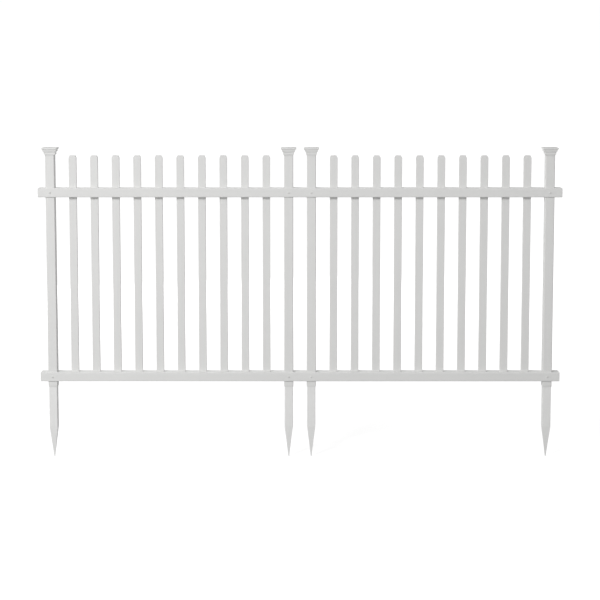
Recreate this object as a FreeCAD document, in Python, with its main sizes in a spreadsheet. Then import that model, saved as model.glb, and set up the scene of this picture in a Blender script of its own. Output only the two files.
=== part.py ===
import FreeCAD, Part
import math
import os
import Sketcher

# Two panels of white vinyl picket fence, butted end to end in one straight run.
# X runs along the fence, the front faces -Y and Z is up. The origin is on the
# foot of the left end post, in the middle of its outer wall, at ground level.

# Driving sizes in millimetres, and one count

SIZES = {
    "picket_count": 10,
    "picket_width": 34.6,
    "picket_depth": 14.0,
    "picket_wall": 1.4,
    "picket_edge": 1.2,
    "picket_gap": 61.4,
    "picket_rise": 145.0,
    "picket_clip_width": 5.5,
    "picket_clip_height": 10.0,
    "post_width": 41.6,
    "post_wall": 2.0,
    "post_radius": 4.0,
    "post_foot": 25.5,
    "post_rise": 175.0,
    "rail_height": 41.0,
    "rail_depth": 54.0,
    "rail_wall": 2.0,
    "rail_radius": 4.0,
    "rail_spacing": 792.5,
    "rail_overhang": 50.7,
    "slot_clearance": 0.3,
    "end_cap_plate": 4.0,
    "end_cap_tongue": 18.0,
    "end_cap_tongue_wall": 2.0,
    "end_cap_clearance": 0.2,
    "end_cap_edge": 1.5,
    "cap_clearance": 0.3,
    "cap_lip": 3.7,
    "cap_wall": 2.2,
    "cap_corner": 2.0,
    "cap_skirt": 9.5,
    "cap_low_cove": 5.0,
    "cap_band": 5.5,
    "cap_high_cove": 4.5,
    "cap_slab": 6.0,
    "cap_crown": 2.5,
    "cap_flat": 20.0,
    "cap_cover": 26.0,
    "cap_rib_width": 12.0,
    "cap_rib_reach": 5.0,
    "stake_clearance": 0.4,
    "stake_wall": 3.0,
    "stake_radius": 3.0,
    "stake_inside": 230.0,
    "stake_shank": 183.0,
    "stake_point": 141.0,
    "stake_tip": 4.0,
}

# How far a cutting outline runs past what it cuts
PAST = 5.0

doc = FreeCAD.newDocument("PicketFence")
sheet = doc.addObject("Spreadsheet::Sheet", "Sizes")
for row, (name, number) in enumerate(SIZES.items(), start=1):
    sheet.set(f"A{row}", name)
    sheet.set(f"B{row}", str(number))
    sheet.setAlias(f"B{row}", name)
doc.recompute()

# Sizes that follow from the driving ones, as expressions on the sheet

FIRST_POST = "((Sizes.post_width - Sizes.post_wall) / 2)"
PICKET_PITCH = "(Sizes.picket_width + Sizes.picket_gap)"
POST_PITCH = f"(Sizes.post_width + Sizes.picket_gap + Sizes.picket_count * {PICKET_PITCH})"
FIRST_PICKET = "(Sizes.post_width / 2 + Sizes.picket_gap + Sizes.picket_width / 2)"
RAIL_LENGTH = f"({POST_PITCH} + 2 * Sizes.rail_overhang)"
LOW_RAIL = "(Sizes.post_foot)"
TOP_RAIL = "(Sizes.post_foot + Sizes.rail_height + Sizes.rail_spacing)"
POST_HEIGHT = f"({TOP_RAIL} + Sizes.rail_height + Sizes.post_rise)"
PICKET_SEAT = "(Sizes.post_foot + Sizes.rail_wall)"
PICKET_HEIGHT = f"({TOP_RAIL} + Sizes.rail_height + Sizes.picket_rise - {PICKET_SEAT})"
STAKE_WIDTH = "(Sizes.post_width - 2 * Sizes.post_wall - 2 * Sizes.stake_clearance)"
CAP_SKIRT_HALF = "(Sizes.post_width / 2 + Sizes.cap_clearance + Sizes.cap_lip)"
CAP_BAND_HALF = f"({CAP_SKIRT_HALF} + Sizes.cap_low_cove)"
CAP_HALF = f"({CAP_BAND_HALF} + Sizes.cap_high_cove)"
CAP_LOW_COVE_TOP = "(Sizes.cap_skirt + Sizes.cap_low_cove)"
CAP_BAND_TOP = f"({CAP_LOW_COVE_TOP} + Sizes.cap_band)"
CAP_SLAB_BASE = f"({CAP_BAND_TOP} + Sizes.cap_high_cove)"
CAP_SLAB_TOP = f"({CAP_SLAB_BASE} + Sizes.cap_slab)"
CAP_TOP = f"({CAP_SLAB_TOP} + Sizes.cap_crown)"


def value(expression):
    """Number that an expression on the sheet gives now."""
    result = sheet.evalExpression(expression)
    return float(getattr(result, "Value", result))


def new_body(label, x="0", z="0"):
    """Empty body, placed along the fence and above the posts' feet."""
    body = doc.addObject("PartDesign::Body", label)
    body.Label = label
    body.setExpression("Placement.Base.x", x)
    body.setExpression("Placement.Base.z", z)
    return body


def new_sketch(body, role, lift="0", shift="0"):
    """Sketch on an origin plane, lifted off it and shifted along its own x."""
    plane = next(item for item in body.Origin.OriginFeatures if item.Role == role)
    sketch = body.newObject("Sketcher::SketchObject", "Sketch")
    sketch.AttachmentSupport = [(plane, "")]
    sketch.MapMode = "FlatFace"
    sketch.setExpression("AttachmentOffset.Base.z", lift)
    sketch.setExpression("AttachmentOffset.Base.x", shift)
    return sketch


def bind(sketch, constraint, expression):
    """Dimension of a sketch that follows an expression on the sheet."""
    index = sketch.addConstraint(constraint)
    sketch.setExpression(f"Constraints[{index}]", expression)


def rounded_rectangle(sketch, width, height, radius):
    """Rectangle with round corners, centred on the sketch's origin."""
    half_x = value(width) / 2
    half_y = value(height) / 2
    r = value(radius)
    up = FreeCAD.Vector(0, 0, 1)
    quarter = math.pi / 2
    first = sketch.GeometryCount
    flats = [
        (-half_x + r, -half_y, half_x - r, -half_y),
        (half_x, -half_y + r, half_x, half_y - r),
        (half_x - r, half_y, -half_x + r, half_y),
        (-half_x, half_y - r, -half_x, -half_y + r),
    ]
    turns = [
        (half_x - r, -half_y + r, 3),
        (half_x - r, half_y - r, 0),
        (-half_x + r, half_y - r, 1),
        (-half_x + r, -half_y + r, 2),
    ]
    for (x1, y1, x2, y2), (x, y, turn) in zip(flats, turns):
        sketch.addGeometry(Part.LineSegment(FreeCAD.Vector(x1, y1, 0), FreeCAD.Vector(x2, y2, 0)))
        circle = Part.Circle(FreeCAD.Vector(x, y, 0), up, r)
        sketch.addGeometry(Part.ArcOfCircle(circle, turn * quarter, (turn + 1) * quarter))
    for side in range(4):
        line = first + 2 * side
        arc = line + 1
        following = first + (2 * side + 2) % 8
        sketch.addConstraint(Sketcher.Constraint("Tangent", line, 2, arc, 1))
        sketch.addConstraint(Sketcher.Constraint("Tangent", arc, 2, following, 1))
        level = "Horizontal" if side % 2 == 0 else "Vertical"
        sketch.addConstraint(Sketcher.Constraint(level, line))
        if side:
            sketch.addConstraint(Sketcher.Constraint("Equal", first + 1, arc))
    sketch.addConstraint(Sketcher.Constraint("Symmetric", first + 7, 3, first + 3, 3, -1, 1))
    bind(sketch, Sketcher.Constraint("Radius", first + 1, r), radius)
    bind(sketch, Sketcher.Constraint("DistanceX", first + 6, 1, first + 2, 1, 2 * half_x), width)
    bind(sketch, Sketcher.Constraint("DistanceY", first, 1, first + 4, 1, 2 * half_y), height)


def square(sketch, width, height):
    """Rectangle with sharp corners, centred on the sketch's origin."""
    x = f"({width} / 2)"
    y = f"({height} / 2)"
    outline(sketch, [(x, f"(-{y})"), (x, y), (f"(-{x})", y), (f"(-{x})", f"(-{y})")])


def outline(sketch, corners):
    """Closed outline through corners given as (x, y) or, where a cove leads to
    the corner, (x, y, its radius, its centre's x, its centre's y)."""
    spots = [FreeCAD.Vector(value(corner[0]), value(corner[1]), 0) for corner in corners]
    first = sketch.GeometryCount
    ends = []
    for index, corner in enumerate(corners):
        start = spots[index - 1]
        finish = spots[index]
        if len(corner) == 2:
            sketch.addGeometry(Part.LineSegment(start, finish))
            ends.append((1, 2))
            continue
        centre = FreeCAD.Vector(value(corner[3]), value(corner[4]), 0)
        circle = Part.Circle(centre, FreeCAD.Vector(0, 0, 1), value(corner[2]))
        sketch.addGeometry(Part.ArcOfCircle(circle, circle.parameter(finish), circle.parameter(start)))
        ends.append((2, 1))
    for index, corner in enumerate(corners):
        line = first + index
        following = first + (index + 1) % len(corners)
        finish = ends[index][1]
        sketch.addConstraint(Sketcher.Constraint(
            "Coincident", line, finish, following, ends[(index + 1) % len(corners)][0]))
        bind(sketch, Sketcher.Constraint("DistanceX", -1, 1, line, finish, spots[index].x), corner[0])
        bind(sketch, Sketcher.Constraint("DistanceY", -1, 1, line, finish, spots[index].y), corner[1])
        if len(corner) > 2:
            bind(sketch, Sketcher.Constraint("Radius", line, value(corner[2])), corner[2])


def pad(body, sketch, length, middle=False, back=False):
    """Solid grown from a sketch."""
    feature = body.newObject("PartDesign::Pad", "Pad")
    feature.Profile = sketch
    feature.setExpression("Length", length)
    feature.Midplane = middle
    feature.Reversed = back
    return feature


def pocket(body, sketch, length, middle=False, back=False):
    """Cut made from a sketch; back turns it to the side that the sketch faces."""
    feature = body.newObject("PartDesign::Pocket", "Pocket")
    feature.Profile = sketch
    feature.setExpression("Length", length)
    feature.Midplane = middle
    feature.Reversed = back
    return feature


def row_pattern(body, feature, sketch, count, length):
    """Copies of a feature in a row along the rail."""
    pattern = body.newObject("PartDesign::LinearPattern", "LinearPattern")
    pattern.Originals = [feature]
    pattern.Direction = (sketch, ["H_Axis"])
    pattern.setExpression("Length", length)
    pattern.setExpression("Occurrences", count)
    body.Tip = pattern


def four_sides(body, feature):
    """Copies of a feature on all four sides of the upright axis."""
    axis = next(item for item in body.Origin.OriginFeatures if item.Role == "Z_Axis")
    pattern = body.newObject("PartDesign::PolarPattern", "PolarPattern")
    pattern.Originals = [feature]
    pattern.Axis = (axis, [""])
    pattern.Angle = 360
    pattern.Occurrences = 4
    body.Tip = pattern
    return pattern


def edges_where(feature, test):
    """Names of a feature's edges that pass a test."""
    edges = enumerate(feature.Shape.Edges, start=1)
    return [f"Edge{number}" for number, edge in edges if test(edge)]


def faces_where(feature, test):
    """Names of a feature's faces that pass a test."""
    faces = enumerate(feature.Shape.Faces, start=1)
    return [f"Face{number}" for number, face in faces if test(face)]


def post(label, x):
    """Hollow square post from the ground to the seat inside its cap."""
    body = new_body(label, x)
    section = new_sketch(body, "XY_Plane")
    rounded_rectangle(section, "Sizes.post_width", "Sizes.post_width", "Sizes.post_radius")
    inner = "(Sizes.post_width - 2 * Sizes.post_wall)"
    rounded_rectangle(section, inner, inner, "(Sizes.post_radius - Sizes.post_wall)")
    pad(body, section, POST_HEIGHT)


def stake(label, x):
    """Square stake, hollow down to its point, that slides up into the post."""
    body = new_body(label, x)
    end = "(-Sizes.stake_shank - Sizes.stake_point)"
    section = new_sketch(body, "XY_Plane", end)
    rounded_rectangle(section, STAKE_WIDTH, STAKE_WIDTH, "Sizes.stake_radius")
    pad(body, section, "Sizes.stake_point + Sizes.stake_shank + Sizes.stake_inside")
    waste = new_sketch(body, "XZ_Plane")
    outline(waste, [
        (f"({STAKE_WIDTH} / 2)", "(-Sizes.stake_shank)"),
        ("(Sizes.stake_tip / 2)", end),
        ("(Sizes.stake_tip / 2)", f"({end} - {PAST})"),
        (f"({STAKE_WIDTH} / 2 + {PAST})", f"({end} - {PAST})"),
        (f"({STAKE_WIDTH} / 2 + {PAST})", "(-Sizes.stake_shank)"),
    ])
    four_sides(body, pocket(body, waste, f"({STAKE_WIDTH} + 2 * {PAST})", middle=True))
    bore = new_sketch(body, "XY_Plane", "Sizes.stake_inside")
    inner = f"({STAKE_WIDTH} - 2 * Sizes.stake_wall)"
    square(bore, inner, inner)
    pocket(body, bore, "Sizes.stake_inside + Sizes.stake_shank - Sizes.stake_wall")


def post_cap(label, x):
    """Moulded cap: skirt, cove, band, cove, slab and low crown, cored out from
    below, with a rib on each side that grips the post and stands on its end."""
    body = new_body(label, x, f"{POST_HEIGHT} - Sizes.cap_cover")
    block = new_sketch(body, "XY_Plane")
    rounded_rectangle(block, f"(2 * {CAP_HALF})", f"(2 * {CAP_HALF})", "Sizes.cap_corner")
    pad(body, block, CAP_TOP)
    beyond = f"({CAP_HALF} + {PAST})"
    above = f"({CAP_TOP} + {PAST})"
    below = f"(-{PAST})"
    waste = new_sketch(body, "XZ_Plane")
    outline(waste, [
        (CAP_SKIRT_HALF, below),
        (CAP_SKIRT_HALF, "Sizes.cap_skirt"),
        (CAP_BAND_HALF, CAP_LOW_COVE_TOP, "Sizes.cap_low_cove", CAP_BAND_HALF, "Sizes.cap_skirt"),
        (CAP_BAND_HALF, CAP_BAND_TOP),
        (CAP_HALF, CAP_SLAB_BASE, "Sizes.cap_high_cove", CAP_HALF, CAP_BAND_TOP),
        (beyond, CAP_SLAB_BASE),
        (beyond, below),
    ])
    outline(waste, [
        (CAP_HALF, CAP_SLAB_TOP),
        (beyond, CAP_SLAB_TOP),
        (beyond, above),
        ("(Sizes.cap_flat / 2)", above),
        ("(Sizes.cap_flat / 2)", CAP_TOP),
    ])
    four_sides(body, pocket(body, waste, f"(2 * {beyond})", middle=True))
    core = new_sketch(body, "XY_Plane")
    inside = f"(2 * ({CAP_SKIRT_HALF} - Sizes.cap_wall))"
    square(core, inside, inside)
    pocket(body, core, f"{CAP_SLAB_TOP} - Sizes.cap_wall", back=True)
    rib = new_sketch(body, "XZ_Plane")
    grip = "(Sizes.post_width / 2 + Sizes.cap_clearance)"
    reach = f"({grip} - Sizes.cap_rib_reach)"
    root = f"({CAP_SKIRT_HALF} - Sizes.cap_wall / 2)"
    roof = f"({CAP_SLAB_TOP} - Sizes.cap_wall / 2)"
    outline(rib, [
        (root, "Sizes.cap_wall"),
        (root, roof),
        (reach, roof),
        (reach, "Sizes.cap_cover"),
        (grip, "Sizes.cap_cover"),
        (grip, "Sizes.cap_wall"),
    ])
    four_sides(body, pad(body, rib, "Sizes.cap_rib_width", middle=True))


def rail(label, x, z, through):
    """Hollow rail with slots that the posts and pickets pass through. In a low
    rail the pickets enter only the top wall and stand on the bottom one."""
    body = new_body(label, x, f"{z} + Sizes.rail_height / 2")
    section = new_sketch(body, "YZ_Plane")
    rounded_rectangle(section, "Sizes.rail_depth", "Sizes.rail_height", "Sizes.rail_radius")
    deep = "(Sizes.rail_depth - 2 * Sizes.rail_wall)"
    high = "(Sizes.rail_height - 2 * Sizes.rail_wall)"
    rounded_rectangle(section, deep, high, "(Sizes.rail_radius - Sizes.rail_wall)")
    pad(body, section, RAIL_LENGTH)
    both_walls = f"(Sizes.rail_height + {PAST})"
    top_wall = f"(Sizes.rail_height / 2 + {PAST})"
    hole = new_sketch(body, "XY_Plane", shift="Sizes.rail_overhang")
    wide = "(Sizes.post_width + 2 * Sizes.slot_clearance)"
    rounded_rectangle(hole, wide, wide, "(Sizes.post_radius + Sizes.slot_clearance)")
    row_pattern(body, pocket(body, hole, both_walls, middle=True), hole, "2", POST_PITCH)
    slot = new_sketch(body, "XY_Plane", shift=f"Sizes.rail_overhang + {FIRST_PICKET}")
    long = "(Sizes.picket_width + 2 * Sizes.slot_clearance)"
    square(slot, long, "(Sizes.picket_depth + 2 * Sizes.slot_clearance)")
    if through:
        cut = pocket(body, slot, both_walls, middle=True)
    else:
        cut = pocket(body, slot, top_wall, back=True)
    row_pattern(body, cut, slot, "Sizes.picket_count", f"(Sizes.picket_count - 1) * {PICKET_PITCH}")


def end_cap(label, x, z, turned):
    """Plate over the rail's free end, with two tongues that slide into it, one
    under its top wall and one over its bottom wall."""
    body = new_body(label, x, f"{z} + Sizes.rail_height / 2")
    plate = new_sketch(body, "YZ_Plane")
    rounded_rectangle(plate, "Sizes.rail_depth", "Sizes.rail_height", "Sizes.rail_radius")
    pad(body, plate, "Sizes.end_cap_plate", back=True)
    tongues = new_sketch(body, "YZ_Plane")
    side = "(Sizes.rail_depth / 2 - Sizes.rail_radius)"
    top = "(Sizes.rail_height / 2 - Sizes.rail_wall - Sizes.end_cap_clearance)"
    low = f"({top} - Sizes.end_cap_tongue_wall)"
    outline(tongues, [(side, low), (side, top), (f"(-{side})", top), (f"(-{side})", low)])
    outline(tongues, [
        (side, f"(-{top})"),
        (side, f"(-{low})"),
        (f"(-{side})", f"(-{low})"),
        (f"(-{side})", f"(-{top})"),
    ])
    cover = pad(body, tongues, "Sizes.end_cap_tongue")
    doc.recompute()
    outer = -0.9 * value("Sizes.end_cap_plate")
    rim = body.newObject("PartDesign::Chamfer", "Rim")
    rim.Base = (cover, edges_where(cover, lambda edge: edge.BoundBox.XMax < outer))
    rim.setExpression("Size", "Sizes.end_cap_edge")
    if turned:
        body.Placement.Rotation = FreeCAD.Rotation(FreeCAD.Vector(0, 0, 1), 180)


def picket(label, x):
    """Hollow picket with clipped top corners, closed at the top."""
    body = new_body(label, x, PICKET_SEAT)
    front = new_sketch(body, "XZ_Plane")
    side = "(Sizes.picket_width / 2)"
    flat = "(Sizes.picket_width / 2 - Sizes.picket_clip_width)"
    shoulder = f"({PICKET_HEIGHT} - Sizes.picket_clip_height)"
    outline(front, [
        (side, "0"),
        (side, shoulder),
        (flat, PICKET_HEIGHT),
        (f"(-{flat})", PICKET_HEIGHT),
        (f"(-{side})", shoulder),
        (f"(-{side})", "0"),
    ])
    board = pad(body, front, "Sizes.picket_depth", middle=True)
    doc.recompute()
    shell = body.newObject("PartDesign::Thickness", "Shell")
    shell.Base = (board, faces_where(board, lambda face: face.CenterOfMass.z < value(shoulder) / 4))
    shell.setExpression("Value", "Sizes.picket_wall")
    shell.Reversed = True
    shell.Join = "Intersection"
    doc.recompute()
    outside = value(f"{side} - Sizes.picket_wall / 2")
    tall = value(f"{shoulder} / 2")
    corners = body.newObject("PartDesign::Chamfer", "Corners")
    corners.Base = (shell, edges_where(shell, lambda edge: (
        edge.BoundBox.ZLength > tall and abs(edge.CenterOfMass.x) > outside)))
    corners.setExpression("Size", "Sizes.picket_edge")


# The left panel starts at its free end and the right one ends at its own

left_rail = f"({FIRST_POST} - Sizes.rail_overhang)"
right_rail = f"({left_rail} + {RAIL_LENGTH})"
posts = {
    "left_end": FIRST_POST,
    "left_inner": f"({FIRST_POST} + {POST_PITCH})",
    "right_inner": f"({right_rail} + Sizes.rail_overhang)",
    "right_end": f"({right_rail} + Sizes.rail_overhang + {POST_PITCH})",
}
for place, x in posts.items():
    post(f"{place}_post", x)
    post_cap(f"{place}_post_cap", x)
    stake(f"{place}_stake", x)

panels = {
    "left": (left_rail, left_rail, False),
    "right": (right_rail, f"({right_rail} + {RAIL_LENGTH})", True),
}
for side, (start, free_end, turned) in panels.items():
    for level, z in (("bottom", LOW_RAIL), ("top", TOP_RAIL)):
        rail(f"{side}_{level}_rail", start, z, level == "top")
        end_cap(f"{side}_{level}_rail_end_cap", free_end, z, turned)
    for number in range(int(value("Sizes.picket_count"))):
        x = f"({start} + Sizes.rail_overhang + {FIRST_PICKET} + {number} * {PICKET_PITCH})"
        picket(f"{side}_picket_{number + 1:02d}", x)

doc.recompute()

# Every object is sound before any file is written

for item in doc.Objects:
    if "Invalid" in item.State or "Error" in item.State:
        raise RuntimeError(f"{item.Label} of {item.getParentGeoFeatureGroup()} failed: {item.State}")
bodies = [item for item in doc.Objects if item.TypeId == "PartDesign::Body"]
for body in bodies:
    if body.Shape.isNull() or not body.Shape.isValid() or len(body.Shape.Solids) != 1:
        raise RuntimeError(f"{body.Label} isn't one valid solid")

os.makedirs("parts", exist_ok=True)
for body in bodies:
    body.Shape.exportStep(f"parts/{body.Label}.step")
    print(f"{body.Label}: {body.Shape.Volume / 1000:.1f} cm3")
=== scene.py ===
import bpy
import bmesh
import math
from mathutils import Matrix, Vector


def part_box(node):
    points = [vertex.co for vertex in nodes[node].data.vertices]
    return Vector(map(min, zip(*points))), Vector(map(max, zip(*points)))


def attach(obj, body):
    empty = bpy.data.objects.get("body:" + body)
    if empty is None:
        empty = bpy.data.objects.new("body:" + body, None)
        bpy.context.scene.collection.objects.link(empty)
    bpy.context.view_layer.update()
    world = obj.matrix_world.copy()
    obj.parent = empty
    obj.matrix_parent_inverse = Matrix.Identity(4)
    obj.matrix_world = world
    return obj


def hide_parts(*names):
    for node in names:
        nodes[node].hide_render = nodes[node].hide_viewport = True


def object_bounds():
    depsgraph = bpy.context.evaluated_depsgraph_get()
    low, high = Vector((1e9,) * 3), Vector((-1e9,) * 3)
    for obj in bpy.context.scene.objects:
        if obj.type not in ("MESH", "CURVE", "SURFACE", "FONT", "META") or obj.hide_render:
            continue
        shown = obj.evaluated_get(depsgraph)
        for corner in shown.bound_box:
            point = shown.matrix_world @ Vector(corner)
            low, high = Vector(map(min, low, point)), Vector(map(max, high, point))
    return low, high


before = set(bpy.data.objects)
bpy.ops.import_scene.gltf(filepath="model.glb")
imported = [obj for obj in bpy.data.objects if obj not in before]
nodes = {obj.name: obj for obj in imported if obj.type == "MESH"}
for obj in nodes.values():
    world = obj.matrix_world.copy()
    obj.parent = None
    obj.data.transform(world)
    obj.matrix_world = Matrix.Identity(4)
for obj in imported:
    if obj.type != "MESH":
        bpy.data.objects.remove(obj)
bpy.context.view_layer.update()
mm = 0.001  # sizes below are in millimetres, the scene is in metres
print("frame loaded with", len(nodes), "nodes")


def nodesEndingWith(ending):
    return sorted(name for name in nodes if name.endswith(ending))


postNames = nodesEndingWith("_post")
capNames = nodesEndingWith("_post_cap")
stakeNames = nodesEndingWith("_stake")
railNames = nodesEndingWith("_rail")
endCapNames = nodesEndingWith("_rail_end_cap")
picketNames = sorted(name for name in nodes if "_picket_" in name)


# camera in front of the seam between the panels, a little above the top rail
camera = {
    "lens": 94.08,  # mm, on a 36 mm sensor
    "sensor": 36.0,
    "distance": 6.94,  # m, from the front of the rails
    "height": 1.60,  # m, above the ground
    "shift": -0.19,  # of the picture's width, keeps the posts nearly upright
    "raise": 0.018,  # m, how far above the fence's middle the picture's centre is
    "reach": 200.0,  # m, nothing further off is drawn
}


def addCamera():
    low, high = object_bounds()
    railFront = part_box(railNames[0])[0][1]
    aim = (low.z + high.z) / 2 + camera["raise"]
    data = bpy.data.cameras.new("camera")
    data.lens = camera["lens"]
    data.sensor_width = camera["sensor"]
    data.shift_y = camera["shift"]
    data.clip_end = camera["reach"]
    lens = bpy.data.objects.new("camera", data)
    drop = math.atan2(camera["height"] - aim, camera["distance"])
    shiftAngle = math.atan(-camera["shift"] * camera["sensor"] / camera["lens"])
    lens.location = ((low.x + high.x) / 2, railFront - camera["distance"], camera["height"])
    lens.rotation_euler = (math.radians(90) - drop + shiftAngle, 0, 0)
    bpy.context.scene.collection.objects.link(lens)
    bpy.context.scene.camera = lens
    print("camera tilt", round(math.degrees(drop - shiftAngle), 2), "degrees")


addCamera()


# arithmetic on shader sockets: an expression adds its Math nodes
class Wire:
    def __init__(self, tree, socket):
        self.tree = tree
        self.socket = socket

    def combine(self, operation, first, second):
        node = self.tree.nodes.new("ShaderNodeMath")
        node.operation = operation
        for entry, value in zip(node.inputs, (first, second)):
            if isinstance(value, Wire):
                self.tree.links.new(value.socket, entry)
            else:
                entry.default_value = value
        return Wire(self.tree, node.outputs[0])

    def __add__(self, other):
        return self.combine("ADD", self, other)

    def __sub__(self, other):
        return self.combine("SUBTRACT", self, other)

    def __rsub__(self, other):
        return self.combine("SUBTRACT", other, self)

    def __mul__(self, other):
        return self.combine("MULTIPLY", self, other)

    def __truediv__(self, other):
        return self.combine("DIVIDE", self, other)

    def atMost(self, ceiling):
        return self.combine("MINIMUM", self, ceiling)

    __radd__ = __add__
    __rmul__ = __mul__


tintSpread = 0.1  # the most that a tint can darken or lighten its colour, as a share


# the nodes of a material or of the world: all but the Math ones come from add
class Finish:
    def __init__(self, owner):
        owner.use_nodes = True
        self.owner = owner
        self.tree = owner.node_tree
        self.tree.nodes.clear()

    def add(self, kind, settings, sockets, output=0):
        node = self.tree.nodes.new("ShaderNode" + kind)
        for name, value in settings.items():
            if name == "stops":
                for stop, (position, colour) in zip(node.color_ramp.elements, value):
                    stop.position = position
                    stop.color = colour
            else:
                setattr(node, name, value)
        for name, value in sockets.items():
            if isinstance(value, Wire):
                self.tree.links.new(value.socket, node.inputs[name])
            else:
                node.inputs[name].default_value = value
        return Wire(self.tree, node.outputs[output]) if node.outputs else None

    def noise(self, stretch, scale, detail):
        # centred on zero, with its cells counted per metre along the object's own axes
        place = self.add("TexCoord", {}, {}, "Object")
        place = self.add("Mapping", {"vector_type": "POINT"}, {"Vector": place, "Scale": stretch})
        return self.add("TexNoise", {}, {"Vector": place, "Scale": scale, "Detail": detail}) - 0.5

    def tint(self, colour, shade):
        # colour made darker or lighter by shade, a share of it
        dark = [part * (1 - tintSpread) for part in colour]
        light = [min(1, part * (1 + tintSpread)) for part in colour]
        stops = [(0.0, (*dark, 1)), (1.0, (*light, 1))]
        return self.add("ValToRGB", {"stops": stops}, {"Fac": 0.5 + shade * (0.5 / tintSpread)})

    def bump(self, height, relief):
        sockets = {"Strength": relief["strength"], "Distance": relief["depth"] * mm, "Height": height}
        return self.add("Bump", {}, sockets)

    def done(self, shader, kind="OutputMaterial"):
        self.add(kind, {}, {"Surface": shader})
        return self.owner


# white PVC. The grain runs along the profile, as the extruder's die leaves it
vinyl = {
    "post_vinyl": {
        "colour": (0.79, 0.79, 0.78), "along": "z", "dieLines": 0.8, "peel": 0.3,
        "mottle": 0.06, "streak": 0.05, "roughness": 0.66, "gloss": 0.12,
    },
    "picket_vinyl": {
        "colour": (0.79, 0.79, 0.78), "along": "z", "dieLines": 0.9, "peel": 0.3,
        "mottle": 0.06, "streak": 0.055, "roughness": 0.66, "gloss": 0.12,
    },
    "rail_vinyl": {
        "colour": (0.795, 0.795, 0.785), "along": "x", "dieLines": 0.9, "peel": 0.3,
        "mottle": 0.06, "streak": 0.05, "roughness": 0.66, "gloss": 0.12,
    },
}
vinylPattern = {  # cells in a metre
    "grainAcross": 260,
    "grainAlong": 0.8,
    "streakAcross": 60,
    "streakAlong": 0.4,
    "mottle": 5,
    "peel": 420,
}
relief = {"strength": 0.7, "depth": 0.3}  # the depth is in mm
plastic = {"vinylRefraction": 1.53, "mouldedRefraction": 1.5, "highlight": 0.2}
evenly = (1, 1, 1)  # a pattern that isn't drawn out


def profileStretch(along, across, lengthwise):
    # cells in a metre on X, Y and Z for a pattern drawn out along the profile
    return {"x": (lengthwise, across, across), "z": (across, across, lengthwise)}[along]


def vinylFinish(name, look):
    finish = Finish(bpy.data.materials.new(name))
    cells = vinylPattern
    grainStretch = profileStretch(look["along"], cells["grainAcross"], cells["grainAlong"])
    streakStretch = profileStretch(look["along"], cells["streakAcross"], cells["streakAlong"])
    grain = finish.noise(grainStretch, scale=1, detail=2)
    streak = finish.noise(streakStretch, scale=1, detail=3)
    mottle = finish.noise(evenly, cells["mottle"], detail=4)
    peel = finish.noise(evenly, cells["peel"], detail=2)
    bump = finish.bump(grain * look["dieLines"] + peel * look["peel"], relief)
    return finish.done(finish.add("BsdfPrincipled", {}, {
        "Base Color": finish.tint(look["colour"], streak * look["streak"] + mottle * look["mottle"]),
        "Roughness": look["roughness"] + (streak + mottle) * look["gloss"],
        "IOR": plastic["vinylRefraction"],
        "Specular IOR Level": plastic["highlight"],
        "Normal": bump,
    }))


# injection-moulded caps and stakes: a fine even texture with no grain
moulded = {
    "cap_plastic": {
        "colour": (0.80, 0.80, 0.79), "texture": 0.5, "mottle": 0.04, "roughness": 0.66, "gloss": 0.10,
    },
    "stake_plastic": {
        "colour": (0.865, 0.865, 0.855), "texture": 0.9, "mottle": 0.05, "roughness": 0.66, "gloss": 0.12,
    },
}
mouldedPattern = {
    "texture": 900,  # cells in a metre, as the next two
    "mottle": 9,
    "flow": 38,
    "flowStretch": (1, 1, 0.35),
    "flowHeight": 0.4,
    "flowTint": 0.5,
}


def mouldedFinish(name, look):
    finish = Finish(bpy.data.materials.new(name))
    cells = mouldedPattern
    texture = finish.noise(evenly, cells["texture"], detail=2)
    mottle = finish.noise(evenly, cells["mottle"], detail=4)
    flow = finish.noise(cells["flowStretch"], cells["flow"], detail=3)
    bump = finish.bump(texture * look["texture"] + flow * cells["flowHeight"], relief)
    shade = (mottle + flow * cells["flowTint"]) * look["mottle"]
    return finish.done(finish.add("BsdfPrincipled", {}, {
        "Base Color": finish.tint(look["colour"], shade),
        "Roughness": look["roughness"] + (texture + mottle) * look["gloss"],
        "IOR": plastic["mouldedRefraction"],
        "Specular IOR Level": plastic["highlight"],
        "Normal": bump,
    }))


finishes = {name: vinylFinish(name, look) for name, look in vinyl.items()}
finishes.update({name: mouldedFinish(name, look) for name, look in moulded.items()})
print("finishes made:", ", ".join(finishes))


# saw cuts and mouldings have their edges broken, in a copy that stands for the CAD piece
edges = {
    "weld": 0.002,  # joins the loose triangles
    "flat": 0.5,  # degrees, triangles that lie flatter are made one face
    "sharp": 32.0,  # degrees, flatter edges are left alone
    "smooth": 28.0,  # degrees, shading is smooth up to here
}
brokenEdge = {
    "picket": {"width": 0.45, "segments": 3, "slot": "picket_vinyl", "names": picketNames},
    "postCap": {"width": 0.5, "segments": 3, "slot": "cap_plastic", "names": capNames},
    "railEndCap": {"width": 0.5, "segments": 3, "slot": "cap_plastic", "names": endCapNames},
    "stake": {"width": 0.6, "segments": 3, "slot": "stake_plastic", "names": stakeNames},
    "post": {"width": 0.2, "segments": 2, "slot": "post_vinyl", "names": postNames},
    "rail": {"width": 0.25, "segments": 2, "slot": "rail_vinyl", "names": railNames},
}


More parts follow.
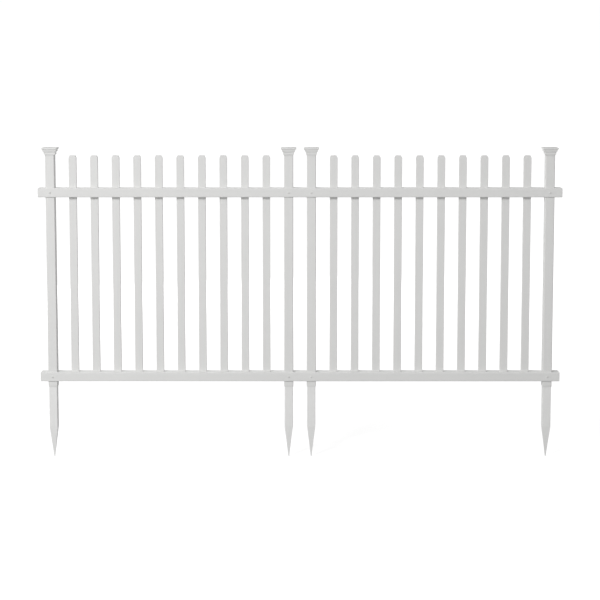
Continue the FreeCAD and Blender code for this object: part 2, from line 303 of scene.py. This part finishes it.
def softened(name, slot, width, segments):
    shape = bmesh.new()
    shape.from_mesh(nodes[name].data)
    bmesh.ops.remove_doubles(shape, verts=shape.verts, dist=edges["weld"] * mm)
    flat = math.radians(edges["flat"])
    bmesh.ops.dissolve_limit(shape, verts=shape.verts, edges=shape.edges, angle_limit=flat)
    limit = math.radians(edges["sharp"])
    sharp = [edge for edge in shape.edges if edge.is_manifold and edge.calc_face_angle() > limit]
    bmesh.ops.bevel(shape, geom=sharp, offset=width * mm, offset_type="OFFSET", segments=segments,
                    profile=0.5, affect="EDGES", clamp_overlap=True, material=-1)
    mesh = bpy.data.meshes.new(name + "_softened")
    shape.to_mesh(mesh)
    shape.free()
    mesh.materials.clear()
    mesh.materials.append(finishes[slot])
    mesh.shade_smooth()
    mesh.set_sharp_from_angle(angle=math.radians(edges["smooth"]))
    piece = bpy.data.objects.new(name + "_softened", mesh)
    bpy.context.scene.collection.objects.link(piece)
    even = piece.modifiers.new("even", "WEIGHTED_NORMAL")
    even.keep_sharp = True
    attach(piece, "root")
    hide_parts(name)


for kind, edge in brokenEdge.items():
    for name in edge["names"]:
        softened(name, edge["slot"], edge["width"], edge["segments"])
    print(kind, "edges broken on", len(edge["names"]))


# one self-tapping screw through the front of each rail into each post, in mm
screw = {
    "head": 9.0,
    "rise": 2.8,
    "rim": 0.9,
    "shank": 3.8,
    "length": 24.0,
    "point": 6.0,
    "sides": 32,
    "domeSteps": 6,
    "recess": 5.2,  # across the cross
    "slotWidth": 1.3,
    "recessDepth": 2.1,
    "recessTaper": 0.45,  # how much of the width is left at the recess's floor
    "slotTaper": 0.75,
    "weld": 0.001,
    "smooth": 30.0,  # degrees, shading is smooth up to here
    "firstTurn": 20.0,  # degrees, each next one is turned further
    "turn": 67.0,
}
screwPaint = {
    "colour": (0.735, 0.735, 0.72),
    "wear": 0.15,
    "roughness": 0.38,
    "gloss": 0.15,
    "grainCells": 1500,  # in a metre
    "wearCells": 300,
    "relief": {"strength": 0.2, "depth": 0.1},  # the depth is in mm
    "refraction": 1.5,
}


def screwFinish():
    finish = Finish(bpy.data.materials.new("screw_paint"))
    grain = finish.noise(evenly, screwPaint["grainCells"], detail=3)
    wear = finish.noise(evenly, screwPaint["wearCells"], detail=3)
    return finish.done(finish.add("BsdfPrincipled", {}, {
        "Base Color": finish.tint(screwPaint["colour"], wear * screwPaint["wear"]),
        "Roughness": screwPaint["roughness"] + wear * screwPaint["gloss"],
        "IOR": screwPaint["refraction"],
        "Normal": finish.bump(grain, screwPaint["relief"]),
    }))


def screwShape():
    # profile along +Y from the head's crown to the point, spun about Y
    radius = screw["head"] / 2
    dome = screw["rise"] - screw["rim"]
    profile = []
    for step in range(screw["domeSteps"] + 1):
        angle = math.pi / 2 * step / screw["domeSteps"]
        profile.append((radius * math.sin(angle), -screw["rim"] - dome * math.cos(angle)))
    profile.append((radius, 0))
    profile.append((screw["shank"] / 2, 0))
    profile.append((screw["shank"] / 2, screw["length"] - screw["point"]))
    profile.append((0, screw["length"]))
    shape = bmesh.new()
    corners = [shape.verts.new((x * mm, y * mm, 0)) for x, y in profile]
    lines = [shape.edges.new(pair) for pair in zip(corners, corners[1:])]
    bmesh.ops.spin(shape, geom=corners + lines, cent=(0, 0, 0), axis=(0, 1, 0), angle=math.tau,
                   steps=screw["sides"], use_merge=True)
    bmesh.ops.remove_doubles(shape, verts=shape.verts, dist=screw["weld"] * mm)
    bmesh.ops.recalc_face_normals(shape, faces=shape.faces)
    return shape


def recessCutter():
    # four-winged driver recess that narrows inwards
    shape = bmesh.new()
    past = 1  # how far it sticks out of the crown
    start = -screw["rise"] - past
    depth = screw["recessDepth"] + past
    for turn in (0, 90):
        wing = bmesh.ops.create_cube(shape, size=1)["verts"]
        bmesh.ops.scale(shape, vec=(screw["recess"] * mm, depth * mm, screw["slotWidth"] * mm), verts=wing)
        inner = [corner for corner in wing if corner.co.y > 0]
        bmesh.ops.scale(shape, vec=(screw["recessTaper"], 1, screw["slotTaper"]), verts=inner)
        bmesh.ops.translate(shape, vec=(0, (start + depth / 2) * mm, 0), verts=wing)
        turned = Matrix.Rotation(math.radians(turn), 3, "Y")
        bmesh.ops.rotate(shape, cent=(0, 0, 0), matrix=turned, verts=wing)
    return shape


def meshObject(name, shape):
    mesh = bpy.data.meshes.new(name)
    shape.to_mesh(mesh)
    shape.free()
    piece = bpy.data.objects.new(name, mesh)
    bpy.context.scene.collection.objects.link(piece)
    return piece


def appliedMesh(piece):
    # mesh with the modifiers made real, and the object taken away
    graph = bpy.context.evaluated_depsgraph_get()
    mesh = bpy.data.meshes.new_from_object(piece.evaluated_get(graph))
    bpy.data.objects.remove(piece)
    return mesh


def screwMesh():
    blank = meshObject("screw_blank", screwShape())
    cutter = meshObject("recess_cutter", recessCutter())
    cut = blank.modifiers.new("recess", "BOOLEAN")
    cut.object = cutter
    cut.operation = "DIFFERENCE"
    cut.solver = "EXACT"
    cut.use_self = True
    mesh = appliedMesh(blank)
    bpy.data.objects.remove(cutter)
    mesh.shade_smooth()
    mesh.set_sharp_from_angle(angle=math.radians(screw["smooth"]))
    return mesh


def addScrews():
    paint = screwFinish()
    pattern = screwMesh()
    pattern.materials.clear()
    pattern.materials.append(paint)
    count = 0
    for rail in railNames:
        side = rail.split("_")[0]
        railLow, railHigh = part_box(rail)
        for post in postNames:
            if not post.startswith(side):
                continue
            postLow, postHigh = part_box(post)
            place = Vector(((postLow[0] + postHigh[0]) / 2, railLow[1], (railLow[2] + railHigh[2]) / 2))
            turn = Matrix.Rotation(math.radians(screw["firstTurn"] + screw["turn"] * count), 4, "Y")
            mesh = pattern.copy()
            mesh.transform(Matrix.Translation(place) @ turn)
            name = post.replace("_post", "") + ("_bottom_screw" if "bottom" in rail else "_top_screw")
            piece = bpy.data.objects.new(name, mesh)
            bpy.context.scene.collection.objects.link(piece)
            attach(piece, "root")
            count += 1
    bpy.data.meshes.remove(pattern)
    print("screws:", count)


addScrews()


# pale floor under the stakes' points and plain soft studio light. Sizes are in metres
studio = {
    "floorSize": 80.0,  # m
    "floorDrop": 0.5,  # mm, under the stakes' points
    "floorColour": 0.53,
    "nearGlow": 0.655,  # what the camera sees on top of the lit floor, so that it reads as white
    "farGlow": 0.90,
    "glowReach": 5.0,  # m, from the fence to where the far value holds
    "backdrop": 1.02,  # 1 is white, the rest covers the noise
    "worldLight": 0.38,
    "keyPower": 576.0,  # W
    "keySize": 3.2,
    "keyPlace": (-3.8, -7.3, 5.2),
    "keyAim": (1.1, 0.0, 0.2),
    "backPower": 62.0,
    "backSize": 3.0,
    "backPlace": (0.2, 4.6, 1.4),
}


def seenDirectly(finish):
    # 1 for camera rays and for what gloss and glass show
    rays = ["Is Camera Ray", "Is Glossy Ray", "Is Transmission Ray"]
    eye, gloss, through = [finish.add("LightPath", {}, {}, ray) for ray in rays]
    return (eye + gloss + through).atMost(1)


def addFloor():
    low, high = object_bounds()
    shape = bmesh.new()
    bmesh.ops.create_grid(shape, x_segments=1, y_segments=1, size=studio["floorSize"] / 2)
    middle = ((low.x + high.x) / 2, 0, low.z - studio["floorDrop"] * mm)
    bmesh.ops.translate(shape, vec=middle, verts=shape.verts)
    floor = meshObject("floor", shape)
    finish = Finish(bpy.data.materials.new("floor"))
    level = studio["floorColour"]
    lit = finish.add("BsdfDiffuse", {}, {"Color": (level, level, level, 1)})
    place = finish.add("TexCoord", {}, {}, "Object")
    away = finish.add("VectorMath", {"operation": "DISTANCE"}, {0: place, 1: (low + high) / 2}, "Value")
    share = (away / studio["glowReach"]).atMost(1)
    white = studio["nearGlow"] + share * (studio["farGlow"] - studio["nearGlow"])
    glow = finish.add("Emission", {}, {"Strength": seenDirectly(finish) * white})
    floor.data.materials.append(finish.done(finish.add("AddShader", {}, {0: lit, 1: glow})))


def addWorld():
    room = Finish(bpy.data.worlds.new("studio"))
    white = seenDirectly(room)
    strength = white * studio["backdrop"] + (1 - white) * studio["worldLight"]
    backdrop = room.add("Background", {}, {"Color": (1, 1, 1, 1), "Strength": strength})
    bpy.context.scene.world = room.done(backdrop, "OutputWorld")


def addLamp(name, power, size, place, aim):
    data = bpy.data.lights.new(name, "AREA")
    data.energy = power
    data.shape = "SQUARE"
    data.size = size
    lamp = bpy.data.objects.new(name, data)
    lamp.location = place
    lamp.rotation_euler = (Vector(aim) - Vector(place)).to_track_quat("-Z", "Y").to_euler()
    bpy.context.scene.collection.objects.link(lamp)


addFloor()
addWorld()
addLamp("key", studio["keyPower"], studio["keySize"], studio["keyPlace"], studio["keyAim"])
addLamp("back", studio["backPower"], studio["backSize"], studio["backPlace"], studio["keyAim"])
bpy.context.scene.view_settings.view_transform = "Standard"
print("studio lit")
